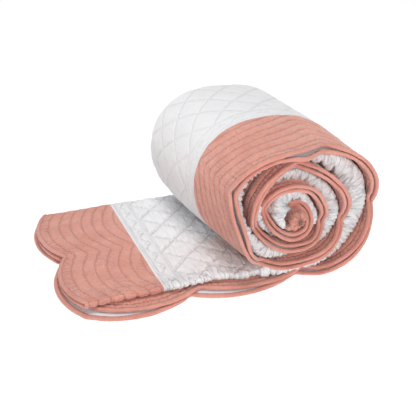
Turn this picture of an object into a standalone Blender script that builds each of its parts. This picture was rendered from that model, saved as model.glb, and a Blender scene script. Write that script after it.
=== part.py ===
"""A scalloped single bedspread, folded to a quarter of its width and rolled from one end.

The quilt is worked out flat and then folded and rolled by functions.
  u     runs along the quilt, from 0 at the cusp line of the tail end to LENGTH in the core
  v     runs across it, from 0 at the first long edge to WIDTH at the second
  depth runs through it, from 0 at the face to PLY at the back
Folded, the four plies lie in the order first, last, third, second quarter of the width.
The roll turns counter-clockwise seen from the near side, where both long edges lie.
"""
import math
from collections import namedtuple

import bmesh
import bpy
import numpy as np

MM = 0.001

# The flat quilt, in metres
LOBE = 0.1825                 # one scallop along the length
LENGTH_LOBES = 12
LENGTH = LOBE * LENGTH_LOBES  # cusp line to cusp line
END_LOBES = (0.178, 0.178, 0.178, 0.166, 0.166, 0.178, 0.178, 0.178)
WIDTH = sum(END_LOBES)
LOBE_RADIUS = 0.155           # of the arc of each scallop
CORE_END = 0.020              # how far the hidden end reaches past its cusp line
BORDER = 0.134                # from cusp line to seam
BINDING = 0.008
SEAM_GAP = 0.0003
BINDING_GAP = 0.0009          # wider, because the facets of a turning edge twist
CORNER_CUT = 0.010            # how much the corners of the tail end are drawn in

# Through the cloth
PLY = 0.0044
BACKING = 0.0010
FACE = PLY - BACKING - SEAM_GAP
PLY_GAP = 0.0008
STACK = 4 * PLY + 3 * PLY_GAP

# The folded section: where its folds are centred, from the cusp line of the first long edge
FAR_FOLD = 0.338
NEAR_FOLD = 0.010
LAST_EDGE = 0.008             # cusp line of the second long edge, set back from the first

# The roll: radius of its outside in millimetres from the roll's centre, a row for each turn
ROLL_HEIGHT = 0.110           # of the centre above the surface
TAIL = 0.362                  # flat length before the roll, from the cusp line
ROLL_COLUMNS = ("bottom", "low right", "right", "high right", "top", "high left", "left", "low left")
ROLL = (
    (110, 128, 148, 143, 129, 148, 116, 101),
    (79, 87, 96, 90, 103, 109, 82, 58),
    (47, 56, 56, 54, 72, 80, 56, 34),
    (23, 20, 21, 27, 33, 32, 26, 24),
)
# Length along the outside from cusp to cusp, in millimetres, and rows of facets in each
Scallop = namedtuple("Scallop", "length rows")
SCALLOPS = (
    Scallop(178, 4), Scallop(192, 4), Scallop(205, 5), Scallop(178, 4), Scallop(191, 5), Scallop(164, 4),
    Scallop(187, 6), Scallop(168, 5), Scallop(174, 5), Scallop(164, 8), Scallop(203, 8), Scallop(168, 16),
)

LINE_STEPS = 6000             # points on the line of the roll, and on the flat stretch before it
FLAT_STEPS = 400
SEAM_CLEAR = 0.006            # no row of points runs nearer to a seam than this
FOLD_CLEAR = 0.020            # and no column nearer to a fold or a long edge than this

CORAL = (0.72, 0.33, 0.26, 1.0)
CORAL_BIAS = (0.70, 0.30, 0.23, 1.0)
WHITE = (0.86, 0.86, 0.88, 1.0)
WHITE_BACK = (0.80, 0.80, 0.83, 1.0)
ROUGHNESS = 0.9


def natural_spline(knots, values, at):
    """A natural cubic through values at knots, read at the places given."""
    count = len(knots)
    step = np.diff(knots)
    slope = np.diff(values) / step
    system = np.eye(count)
    right = np.zeros(count)
    for k in range(1, count - 1):
        system[k, k - 1:k + 2] = step[k - 1], 2 * (step[k - 1] + step[k]), step[k]
        right[k] = 6 * (slope[k] - slope[k - 1])
    bend = np.linalg.solve(system, right)
    k = np.clip(np.searchsorted(knots, at, side="right") - 1, 0, count - 2)
    t = at - knots[k]
    rise = slope[k] - step[k] * (2 * bend[k] + bend[k + 1]) / 6
    return values[k] + t * rise + t ** 2 * bend[k] / 2 + t ** 3 * (bend[k + 1] - bend[k]) / (6 * step[k])


def wound_line():
    """The outside of the strip in side view: arc length, x, z and inward normal."""
    radii = np.array(ROLL, float).ravel() * MM
    knots = np.radians(-90 + 360 / len(ROLL_COLUMNS) * np.arange(len(radii)))
    angle = np.linspace(knots[0], knots[-1], LINE_STEPS)
    radius = natural_spline(knots, radii, angle)
    x = radius * np.cos(angle)
    z = np.maximum(ROLL_HEIGHT + radius * np.sin(angle), 0.0)
    flat = np.linspace(-TAIL - LOBE_RADIUS, 0.0, FLAT_STEPS, endpoint=False)
    x = np.concatenate([flat, x])
    z = np.concatenate([np.zeros(len(flat)), z])
    arc = np.concatenate([[0.0], np.cumsum(np.hypot(np.diff(x), np.diff(z)))]) + flat[0] + TAIL
    run_x = np.gradient(x, arc)
    run_z = np.gradient(z, arc)
    size = np.hypot(run_x, run_z)
    return arc, x, z, -run_z / size, run_x / size


LINE = wound_line()
CUSP_ARC = np.concatenate([[0.0], np.cumsum([scallop.length for scallop in SCALLOPS])]) * MM


def rolled(u, y, inward):
    """The point at place u along the strip, y across it, and so far in from its outside."""
    if u <= 0:
        arc = u
    elif u >= LENGTH:
        arc = CUSP_ARC[-1] + (u - LENGTH)
    else:
        arc = natural_spline(LOBE * np.arange(len(CUSP_ARC)), CUSP_ARC, np.array([u]))[0]
    x, z, nx, nz = (np.interp(arc, LINE[0], part) for part in LINE[1:])
    return (x + inward * nx + CENTRE_X, y - CENTRE_Y, z + inward * nz)


QUARTER = WIDTH / 4
FOLD_MIDDLE = STACK / 2
BEND_MIDDLE = 3 * PLY + 2.5 * PLY_GAP
OUTER_TURN = math.pi / 2 * (FOLD_MIDDLE - PLY / 2)   # cloth in a quarter turn of the far fold
INNER_TURN = math.pi / 2 * (PLY + PLY_GAP) / 2       # and of the two tight folds


def sagitta(width):
    """How far a scallop of this width reaches past its cusp line."""
    return LOBE_RADIUS - math.sqrt(LOBE_RADIUS ** 2 - (width / 2) ** 2)


# The origin is under the middle of the whole
CENTRE_X = (TAIL + sagitta(max(END_LOBES)) - LINE[1].max()) / 2
CENTRE_Y = (FAR_FOLD + FOLD_MIDDLE - sagitta(LOBE)) / 2


def flat_run(v, start, end, place_start, place_end):
    """Place across the strip of v, between start and end."""
    return place_start + (place_end - place_start) * (v - start) / (end - start)


def folded(v, depth):
    """Place across the strip and inward from its outside, for v and depth in the flat quilt."""
    first, second, third = QUARTER, 2 * QUARTER, 3 * QUARTER
    if v < first - OUTER_TURN:
        return flat_run(v, 0.0, first - OUTER_TURN, 0.0, FAR_FOLD), depth
    if v < first + OUTER_TURN:
        swing = (v - first) / OUTER_TURN * math.pi / 2
        reach = FOLD_MIDDLE - depth
        return FAR_FOLD + reach * math.cos(swing), FOLD_MIDDLE + reach * math.sin(swing)
    if v < second - INNER_TURN:
        return flat_run(v, first + OUTER_TURN, second - INNER_TURN, FAR_FOLD, NEAR_FOLD), STACK - depth
    if v < second + INNER_TURN:
        swing = (v - second) / INNER_TURN * math.pi / 2
        reach = PLY + PLY_GAP / 2 - depth
        return NEAR_FOLD - reach * math.cos(swing), BEND_MIDDLE - reach * math.sin(swing)
    if v < third - INNER_TURN:
        place = flat_run(v, second + INNER_TURN, third - INNER_TURN, NEAR_FOLD, FAR_FOLD)
        return place, 2 * (PLY + PLY_GAP) + depth
    if v < third + INNER_TURN:
        swing = (v - third) / INNER_TURN * math.pi / 2
        reach = depth + PLY_GAP / 2
        return FAR_FOLD + reach * math.cos(swing), FOLD_MIDDLE - reach * math.sin(swing)
    return flat_run(v, third + INNER_TURN, WIDTH, FAR_FOLD, LAST_EDGE), 2 * PLY + PLY_GAP - depth


def placed(u, v, depth):
    y, inward = folded(v, depth)
    return rolled(u, y, inward)


def lobe_reach(place, cusps):
    """How far the scalloped edge reaches past its cusp line."""
    k = min(max(int(np.searchsorted(cusps, place, side="right")) - 1, 0), len(cusps) - 2)
    half = (cusps[k + 1] - cusps[k]) / 2
    off = min(abs(place - cusps[k] - half), half)
    return math.sqrt(LOBE_RADIUS ** 2 - off ** 2) - math.sqrt(LOBE_RADIUS ** 2 - half ** 2)


LONG_CUSPS = LOBE * np.arange(LENGTH_LOBES + 1)
END_CUSPS = np.concatenate([[0.0], np.cumsum(END_LOBES)])


def row_places():
    """Every place along the quilt that has a row of points, with the two seams among them."""
    places = []
    for k, scallop in enumerate(SCALLOPS):
        places += [(k + part / scallop.rows) * LOBE for part in range(scallop.rows)]
    places += [LENGTH, LENGTH + CORE_END / 2]
    keep = [p for p in places if min(abs(p - BORDER), abs(p - LENGTH + BORDER)) > SEAM_CLEAR]
    return sorted(keep + [BORDER, LENGTH - BORDER])


def fold_places():
    """Every place across the quilt that has a column of points in each row."""
    far = [QUARTER + OUTER_TURN * part for part in (-1, -0.5, 0, 0.5, 1)]
    near = [2 * QUARTER + INNER_TURN * part for part in (-1, 0, 1)]
    last = [3 * QUARTER + INNER_TURN * part for part in (-1, 0, 1)]
    return far + near + last


FOLDS = fold_places()


def edge_places():
    """Places across the tail end: folds, cusps and the middle and quarters of each lobe."""
    places = list(FOLDS)
    for start, end in zip(END_CUSPS[:-1], END_CUSPS[1:]):
        for part in (0.0, 0.25, 0.5, 0.75):
            place = start + (end - start) * part
            if min(abs(place - fold) for fold in FOLDS) > FOLD_CLEAR:
                places.append(place)
    return sorted(p for p in places if FOLD_CLEAR < p < WIDTH - FOLD_CLEAR)


EDGE = edge_places()


def tail_edge(v, inset):
    """Place along the quilt of the tail end's edge, which runs level round a tight fold."""
    for fold in (2 * QUARTER, 3 * QUARTER):
        if abs(v - fold) < 2 * INNER_TURN:
            v = fold
    return inset - lobe_reach(v, END_CUSPS)


def long_edge(u, inset):
    """First and last v of the cloth at place u."""
    reach = lobe_reach(u, LONG_CUSPS) if 0 < u < LENGTH else 0.0
    return -reach + inset, WIDTH + reach - inset


def mesh_object(name, points, faces, colour):
    mesh = bpy.data.meshes.new(name)
    build = bmesh.new()
    corners = [build.verts.new(point) for point in points]
    for face in faces:
        build.faces.new([corners[k] for k in face])
    bmesh.ops.recalc_face_normals(build, faces=build.faces)
    build.to_mesh(mesh)
    build.free()
    material = bpy.data.materials.new(name + "_cloth")
    material.use_nodes = True
    shader = material.node_tree.nodes["Principled BSDF"]
    shader.inputs["Base Color"].default_value = colour
    shader.inputs["Roughness"].default_value = ROUGHNESS
    shader.inputs["Metallic"].default_value = 0.0
    mesh.materials.append(material)
    piece = bpy.data.objects.new(name, mesh)
    bpy.context.scene.collection.objects.link(piece)
    return piece


def lace(row, other):
    """Triangles between two rows of (v, index), which need not have as many points."""
    faces = []
    i = j = 0
    while i < len(row) - 1 or j < len(other) - 1:
        step_row = j == len(other) - 1 or (i < len(row) - 1 and row[i + 1][0] <= other[j + 1][0])
        if step_row:
            faces.append((row[i][1], row[i + 1][1], other[j][1]))
            i += 1
        else:
            faces.append((row[i][1], other[j + 1][1], other[j][1]))
            j += 1
    return faces


def cloth_sheet(name, rows, front, back, colour):
    """A closed sheet from rows of (u, v), between two depths."""
    points = []
    sides = []
    for depth in (front, back):
        side = []
        for row in rows:
            side.append([(v, len(points) + k) for k, (_, v) in enumerate(row)])
            points += [placed(u, v, depth) for u, v in row]
        sides.append(side)
    faces = []
    for side, turn in zip(sides, (1, -1)):
        for row, other in zip(side[:-1], side[1:]):
            faces += [face[::turn] for face in lace(row, other)]
    rim = []
    for side in sides:
        rim.append([index for _, index in side[0]]
                   + [row[-1][1] for row in side[1:-1]]
                   + [index for _, index in reversed(side[-1])]
                   + [row[0][1] for row in reversed(side[1:-1])])
    for k in range(len(rim[0])):
        after = (k + 1) % len(rim[0])
        faces.append((rim[0][k], rim[0][after], rim[1][after]))
        faces.append((rim[0][k], rim[1][after], rim[1][k]))
    return mesh_object(name, points, faces, colour)


def inset_row(u, columns, inset):
    """A row of points right across the quilt, set in from both long edges."""
    first, last = long_edge(u, inset)
    return [(u, first)] + [(u, v) for v in columns] + [(u, last)]


def tail_rows(inset, last_row):
    """The rows of the tail end, from its scalloped edge to the seam."""
    corner = inset + CORNER_CUT
    edge = [(corner, corner)] + [(tail_edge(v, inset), v) for v in EDGE] + [(corner, WIDTH - corner)]
    between = [u for u in row_places() if 2 * corner < u < BORDER]
    return [edge] + [inset_row(u, EDGE, inset) for u in between] + [last_row]


def build_quilt():
    rows = row_places()
    inset = BINDING + BINDING_GAP
    seam = BORDER + SEAM_GAP
    inner = [u for u in rows if BORDER < u < LENGTH - BORDER]
    end = LENGTH + CORE_END - inset
    core = [LENGTH - BORDER] + [u for u in rows if LENGTH - BORDER < u < end] + [end]
    between_ends = [seam] + inner + [LENGTH - seam]

    centre = [[(u, seam)] + [(u, v) for v in FOLDS] + [(u, WIDTH - seam)] for u in between_ends]
    cloth_sheet("centre_panel", centre, 0.0, FACE, WHITE)
    tail = tail_rows(inset, inset_row(BORDER, EDGE, inset))
    cloth_sheet("end_border_tail", tail, 0.0, FACE, CORAL)
    cloth_sheet("end_border_core", [inset_row(u, FOLDS, inset) for u in core], 0.0, FACE, CORAL)
    first = [[(u, long_edge(u, inset)[0]), (u, BORDER)] for u in between_ends]
    cloth_sheet("side_border_first", first, 0.0, FACE, CORAL)
    last = [[(u, WIDTH - BORDER), (u, long_edge(u, inset)[1])] for u in between_ends]
    cloth_sheet("side_border_last", last, 0.0, FACE, CORAL)

    under = tail_rows(inset, inset_row(BORDER, FOLDS, inset))
    under += [inset_row(u, FOLDS, inset) for u in inner + core]
    cloth_sheet("backing", under, FACE + SEAM_GAP, PLY, WHITE_BACK)
    build_binding([u for u in rows if u > 2 * CORNER_CUT])


def build_binding(side):
    """One strip round the whole edge: outer and inner place of each point, then its section.

    Its inner wall is split along the same diagonals as the cloth that it meets.
    """
    loop = []
    end = LENGTH + CORE_END
    for u in side:
        loop.append(((u, long_edge(u, 0.0)[0]), (u, long_edge(u, BINDING)[0])))
    loop.append(((end, 0.0), (end - BINDING, BINDING)))
    for v in FOLDS:
        loop.append(((end, v), (end - BINDING, v)))
    loop.append(((end, WIDTH), (end - BINDING, WIDTH - BINDING)))
    for u in reversed(side):
        loop.append(((u, long_edge(u, 0.0)[1]), (u, long_edge(u, BINDING)[1])))
    cut = CORNER_CUT
    loop.append(((cut, WIDTH - cut), (BINDING + cut, WIDTH - BINDING - cut)))
    for v in reversed(EDGE):
        loop.append(((tail_edge(v, 0.0), v), (tail_edge(v, BINDING), v)))
    loop.append(((cut, cut), (BINDING + cut, BINDING + cut)))

    points = []
    for outer, inner_place in loop:
        points += [placed(*outer, 0.0), placed(*outer, PLY), placed(*inner_place, PLY), placed(*inner_place, 0.0)]
    faces = []
    count = len(loop)
    for k in range(count):
        here, there = 4 * k, 4 * ((k + 1) % count)
        for a in range(4):
            b = (a + 1) % 4
            faces.append((here + a, here + b, there + b))
            faces.append((here + a, there + b, there + a))
    return mesh_object("binding", points, faces, CORAL_BIAS)


for old in list(bpy.data.objects):
    bpy.data.objects.remove(old, do_unlink=True)
build_quilt()
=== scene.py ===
# %% [markdown]
# # A scalloped quilt, folded and rolled
#
# A quilt is a pieced face, a thin filling and a plain back, stitched together. This one has a
# white centre with coral borders, and its wavy edge is bound with a bias strip. It has been
# folded into four along its length, then rolled up from one end.
#
# Each piece is cut flat, quilted flat, and only then folded and rolled by the same functions,
# so that seams and stitches meet all along.
#
# Lengths are in metres, unless a comment says millimetres.

# %% Load the frame
import math
from functools import reduce

import bmesh
import bpy
import numpy as np
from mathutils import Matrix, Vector


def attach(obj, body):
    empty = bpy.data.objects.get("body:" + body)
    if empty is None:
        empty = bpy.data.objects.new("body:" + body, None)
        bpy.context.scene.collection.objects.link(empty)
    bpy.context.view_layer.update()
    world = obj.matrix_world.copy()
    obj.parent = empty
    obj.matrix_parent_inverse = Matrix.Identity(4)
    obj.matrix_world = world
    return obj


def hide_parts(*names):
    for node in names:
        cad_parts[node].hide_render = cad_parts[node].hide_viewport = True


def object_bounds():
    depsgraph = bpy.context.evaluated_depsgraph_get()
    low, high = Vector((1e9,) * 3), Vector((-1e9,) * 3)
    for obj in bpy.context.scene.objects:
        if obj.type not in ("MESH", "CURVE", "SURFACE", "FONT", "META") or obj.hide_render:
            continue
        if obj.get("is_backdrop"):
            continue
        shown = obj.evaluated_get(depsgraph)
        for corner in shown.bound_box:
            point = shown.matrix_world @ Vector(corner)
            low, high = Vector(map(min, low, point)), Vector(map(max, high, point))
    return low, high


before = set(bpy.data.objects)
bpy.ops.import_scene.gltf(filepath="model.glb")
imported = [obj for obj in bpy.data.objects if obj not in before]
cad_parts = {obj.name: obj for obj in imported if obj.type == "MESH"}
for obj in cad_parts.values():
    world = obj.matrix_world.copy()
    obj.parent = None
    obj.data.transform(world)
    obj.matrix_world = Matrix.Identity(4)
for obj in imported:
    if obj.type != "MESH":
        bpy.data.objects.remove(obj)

low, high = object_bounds()
MM = 0.001
print("solids", sorted(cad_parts), "box", [round(high[k] - low[k], 3) for k in range(3)])

# %% [markdown]
# ## The flat quilt
#
# Everything starts from the flat cut. Place **u** runs along the quilt from the free end to the
# core of the roll, and **v** runs across it from the first long edge to the last.
# A scallop is an arc that reaches past a straight cusp line, so one radius and a width give it.

# %% Sizes of the flat quilt
LOBE = 0.1825  # one scallop of the long edges
LENGTH_LOBES = 12
LENGTH = LOBE * LENGTH_LOBES
END_LOBES = (0.178, 0.178, 0.178, 0.166, 0.166, 0.178, 0.178, 0.178)
WIDTH = sum(END_LOBES)
LOBE_RADIUS = 0.155
CORE_END = 0.020  # how far the straight end in the core lies past the last cusp line
BORDER = 0.134
LONG_CUSPS = LOBE * np.arange(LENGTH_LOBES + 1)
END_CUSPS = np.concatenate([[0.0], np.cumsum(END_LOBES)])


def reach(place, cusps, soft=0.0):
    """How far the scalloped edge reaches past its cusp line; soft rounds off the cusps."""
    k = np.clip(np.searchsorted(cusps, place, side="right") - 1, 0, len(cusps) - 2)
    half = (cusps[k + 1] - cusps[k]) / 2
    off = np.abs(half - np.hypot(half - np.minimum(np.abs(place - cusps[k] - half), half), soft))
    return np.sqrt(LOBE_RADIUS ** 2 - off ** 2) - np.sqrt(LOBE_RADIUS ** 2 - half ** 2)


LONG_REACH = float(reach(np.array([LOBE / 2]), LONG_CUSPS)[0])
END_REACH = float(reach(np.array([END_LOBES[0] / 2]), END_CUSPS)[0])
print("flat size", round(WIDTH, 3), "by", round(LENGTH, 3), "scallops reach", round(LONG_REACH / MM), "mm")

# %% [markdown]
# ## The fold
#
# Four plies lie on each other, joined by two folds on the far side and one on the near side.
# The near fold is loose: it fills with air where the roll leaves room, and it gathers in
# puckers because the inside of a roll is shorter than its outside.

# %% Sizes through the cloth and of the fold
PLY = 0.0044  # thickness of one ply, and the air between two
PLY_GAP = 0.0008
STACK = 4 * PLY + 3 * PLY_GAP
QUARTER = WIDTH / 4
FAR_FOLD = 0.338  # place across the strip where the far folds start to turn
FOLD_MIDDLE = STACK / 2
BEND_MIDDLE = 3 * PLY + 2.5 * PLY_GAP
OUTER_TURN = math.pi / 2 * (FOLD_MIDDLE - PLY / 2)  # half of the cloth that goes round a far fold
INNER_TURN = math.pi / 2 * (PLY + PLY_GAP) / 2
NEAR_SWELL = 0.0026  # how much the two bound edges lift the near fold
EDGE_LIFT = 0.0014  # how much the last bound edge is lifted by the first
SWELL_REACH = 0.030  # how far in from the near side such lifts are felt
LIFT_REACH = 0.028
print("four plies stack up to", round(STACK / MM, 1), "mm, each", round(QUARTER, 3), "m wide")

# %% [markdown]
# ## The roll
#
# The outside of the rolled strip is one line in side view. It is flat along the free end, then
# winds inwards. Its radius is given at eight directions in each turn, and a natural spline
# runs through them, because a hand-rolled quilt is nowhere round.

# %% Radii of the roll
ROLL_HEIGHT = 0.110  # height of the middle of the roll above the floor
TAIL = 0.362  # length of the free end, as far as the bottom of the roll
ROLL_COLUMNS = ("bottom", "low right", "right", "high right", "top", "high left", "left", "low left")
# Radius of the outside of the strip in each direction, in millimetres, one row for each turn
ROLL = (
    (110, 128, 148, 143, 129, 148, 116, 101),
    (79, 87, 96, 90, 103, 109, 82, 58),
    (47, 56, 56, 54, 72, 80, 56, 34),
    (23, 20, 21, 27, 33, 32, 26, 24),
)
# How much it swells in the same directions, at four places from near to far, in millimetres
SWELL_PLACES = (0.0, 0.142, 0.24, 0.338)
SWELL = (
    (0, 0, 0, 5, 3, 0, 0, 0),
    (0, 4, 8, 9, 8, -4, 16, 12),
    (0, 3, 6, 6, 5, 0, 25, 20),
    (0, 2, 4, 3, 1, 0, 27, 22),
)
# Length of each scallop along the outside of the strip, which pulls some and gathers others
SCALLOP_LENGTHS = (178, 192, 205, 178, 191, 164, 187, 168, 174, 164, 203, 168)
CUSP_ARC = np.concatenate([[0.0], np.cumsum(SCALLOP_LENGTHS)]) * MM
print(len(ROLL), "turns, and", round(CUSP_ARC[-1], 3), "m of strip from the first cusp to the last")


# %% The wound line
def spline(knots, values, at):
    """A natural cubic through values at knots, read at the places given."""
    knots = np.asarray(knots, float)
    values = np.asarray(values, float)
    count = len(knots)
    step = np.diff(knots)
    slope = np.diff(values) / step
    system = np.eye(count)
    right = np.zeros(count)
    for k in range(1, count - 1):
        system[k, k - 1:k + 2] = step[k - 1], 2 * (step[k - 1] + step[k]), step[k]
        right[k] = 6 * (slope[k] - slope[k - 1])
    bend = np.linalg.solve(system, right)
    at = np.clip(at, knots[0], knots[-1])
    k = np.clip(np.searchsorted(knots, at, side="right") - 1, 0, count - 2)
    t = at - knots[k]
    rise = slope[k] - step[k] * (2 * bend[k] + bend[k + 1]) / 6
    return values[k] + t * rise + t ** 2 * bend[k] / 2 + t ** 3 * (bend[k + 1] - bend[k]) / (6 * step[k])


def wound_line(flat_steps=400, roll_steps=6000):
    """Arc length, x, z, inward normal, angle and free gap along the outside of the strip."""
    radii = np.array(ROLL, float).ravel() * MM
    knots = np.radians(-90 + 360 / len(ROLL_COLUMNS) * np.arange(len(radii)))
    angle = np.linspace(knots[0], knots[-1], roll_steps)
    radius = spline(knots, radii, angle)
    inner = np.where(angle + 2 * math.pi <= knots[-1], spline(knots, radii, angle + 2 * math.pi), 0.0)
    gap = np.maximum(radius - inner - STACK, 0.0)
    x = radius * np.cos(angle)
    z = np.maximum(ROLL_HEIGHT + radius * np.sin(angle), 0.0)
    flat = np.linspace(-TAIL - LOBE_RADIUS, 0.0, flat_steps, endpoint=False)
    x = np.concatenate([flat, x])
    z = np.concatenate([0 * flat, z])
    angle = np.concatenate([0 * flat + knots[0], angle])
    gap = np.concatenate([0 * flat, gap])
    arc = np.concatenate([[0.0], np.cumsum(np.hypot(np.diff(x), np.diff(z)))]) + flat[0] + TAIL
    run_x, run_z = np.gradient(x, arc), np.gradient(z, arc)
    size = np.hypot(run_x, run_z)
    return arc, x, z, -run_z / size, run_x / size, angle, gap


LINE = wound_line()
CENTRE_X = low.x + TAIL + END_REACH
CENTRE_Y = FAR_FOLD + FOLD_MIDDLE - high.y
print("line of", round(LINE[0][-1], 3), "m; origin at", round(CENTRE_X, 4), round(CENTRE_Y, 4))

# %% [markdown]
# ## Unevenness
#
# Cloth is never regular, so the shapes below are stirred with noise: a table of random numbers,
# always the same ones, read smoothly in two directions. Each use has a shift of its own.

# %% Smooth noise
TABLE_SIZE = 128
TABLE = np.random.default_rng(7).uniform(-1, 1, (TABLE_SIZE, TABLE_SIZE))


def noise(a, b=0.0, shift=0):
    """Smooth noise between -1 and 1 with features about one unit across."""
    a, b = np.broadcast_arrays(np.asarray(a, float) + 17.3 * shift, np.asarray(b, float) + 5.1 * shift)
    i, j = np.floor(a).astype(int), np.floor(b).astype(int)
    s, t = a - i, b - j
    s, t = s * s * (3 - 2 * s), t * t * (3 - 2 * t)
    pick = [[TABLE[(i + p) % TABLE_SIZE, (j + q) % TABLE_SIZE] for q in (0, 1)] for p in (0, 1)]
    return (pick[0][0] * (1 - s) + pick[1][0] * s) * (1 - t) + (pick[0][1] * (1 - s) + pick[1][1] * s) * t


def pleats(place, width, shift=0):
    """Round puffs with sharp valleys between them, from 0 in a valley to 1 on a puff."""
    phase = place / width + 0.6 * noise(place / (2.3 * width), 0.0, shift)
    return np.abs(np.sin(math.pi * phase)) ** 0.55


print("five pleats", pleats(np.linspace(0, 5, 11), 1.0).round(2))

# %% [markdown]
# ## From flat to rolled
#
# `folded` takes a point of the flat quilt across the strip, and `placed` takes it round the
# roll. Both work on whole arrays at once, which keeps them quick.
#
# The near fold and the last bound edge don't run straight. Each is given as a row of points:
# how far past the bottom of the roll, and the place across the strip there.

# %% Where the near fold and the last edge lie
NEAR_LINE = (
    (-0.40, 0.013), (-0.31, 0.012), (-0.25, 0.012), (-0.187, 0.012), (-0.152, 0.014),
    (-0.111, 0.009), (-0.079, 0.001), (-0.038, -0.006), (0.05, -0.001), (0.15, 0.006),
    (1.55, 0.004), (1.64, -0.014), (2.0, -0.018))
LAST_LINE = (
    (-0.40, 0.008), (-0.10, 0.008), (0.02, 0.003), (0.15, 0.001), (0.35, 0.001),
    (0.395, -0.013), (0.425, -0.013), (0.475, 0.001), (0.545, 0.001), (0.585, -0.011),
    (0.63, -0.009), (0.70, 0.003), (0.90, 0.001), (1.10, 0.001), (1.30, 0.005),
    (1.45, 0.002), (2.0, 0.002))


def across_at(line, arc):
    """Place across the strip that a row of points gives."""
    return np.interp(arc - TAIL, *np.array(line).T)


def arc_of(u):
    """Length along the outside of the strip, for places along the flat quilt."""
    inside = spline(LOBE * np.arange(len(CUSP_ARC)), CUSP_ARC, u)
    return np.where(u <= 0, u, np.where(u >= LENGTH, CUSP_ARC[-1] + u - LENGTH, inside))


print("at the bottom of the roll the near fold is at", round(float(across_at(NEAR_LINE, TAIL)), 4))

# %% [markdown]
# Pleats of two sizes lift the near fold, and crimps move it in and out, so it looks gathered. It
# fills most of the gap between two turns, but hangs back on one side and leaves a hollow there.
# The free end is puffed up by air, and climbs a little where the roll begins.

# %% The loose near fold and the puffed free end
BROAD_PLEAT = 0.021
NARROW_PLEAT = 0.0085
CRIMP = 0.0105
LEAST_LIFT = 0.0014  # how far the fold stands up where the turns leave no gap
GAP_SHARE = 0.85  # how much of the gap it fills, and how much less where it hangs back
SLACK_SHARE = 0.60
SLACK_TURN = math.radians(158)
SLACK_SPREAD = math.radians(36)
TAIL_LOFT = 0.0025  # how much the free end is puffed up by the air in it
TAIL_RISE = 0.008  # how much it climbs where the roll begins, where, and over what length
RISE_PLACE = TAIL - 0.035
RISE_REACH = 0.040


def loose_fold(arc, v):
    """How far the near fold is lifted, and its place across the strip."""
    gap = np.interp(arc, LINE[0], LINE[6])
    bent = arc + 0.0035 * noise(arc / 0.017, v / 0.022, 6)
    puff = 0.20 + 0.65 * pleats(bent, BROAD_PLEAT, 1) + 0.28 * pleats(bent, NARROW_PLEAT, 9)
    turned = np.interp(arc, LINE[0], LINE[5])
    slack = np.exp(-((turned - SLACK_TURN) / SLACK_SPREAD) ** 2)
    lift = (LEAST_LIFT + (GAP_SHARE - SLACK_SHARE * slack) * gap) * puff
    crimp = (0.0016 + 0.0036 * np.clip((arc - 0.10) / 0.1, 0, 1)) * (pleats(bent, CRIMP, 3) - 0.5)
    return lift, across_at(NEAR_LINE, arc) + 0.0016 * noise(arc / 0.03, 0, 2) - crimp


def tail_loft(arc, v):
    """How much the upper ply of the free end is lifted."""
    puffed = TAIL_LOFT * (1 + 0.5 * noise(arc / 0.09, v / 0.11, 8)) * np.clip((TAIL - arc) / 0.1, 0, 1)
    climb = np.exp(-((arc - RISE_PLACE) / RISE_REACH) ** 2) * np.clip((v - QUARTER) / 0.12, 0, 1)
    return puffed + TAIL_RISE * climb


highest = loose_fold(LINE[0], 2 * QUARTER)[0].max()
print("the near fold is lifted up to", round(float(highest) / MM, 1), "mm")

# %% [markdown]
# The fold goes ply by ply: flat stretches, and half a turn round a middle line for each fold. In
# the core the near fold runs on past the bound edges, as the start of a roll is tucked in.

# %% Fold the four plies
CORE_SLIP = 0.050  # how far the near fold runs on past the bound edges in the core
CORE_REACH = 0.18  # over what length of cloth it does so
CORE_DROP = 0.007  # how far it sinks back towards the ply outside it
CORE_FULL = 0.93  # how much of the way to the middle of the roll it may fill


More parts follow.
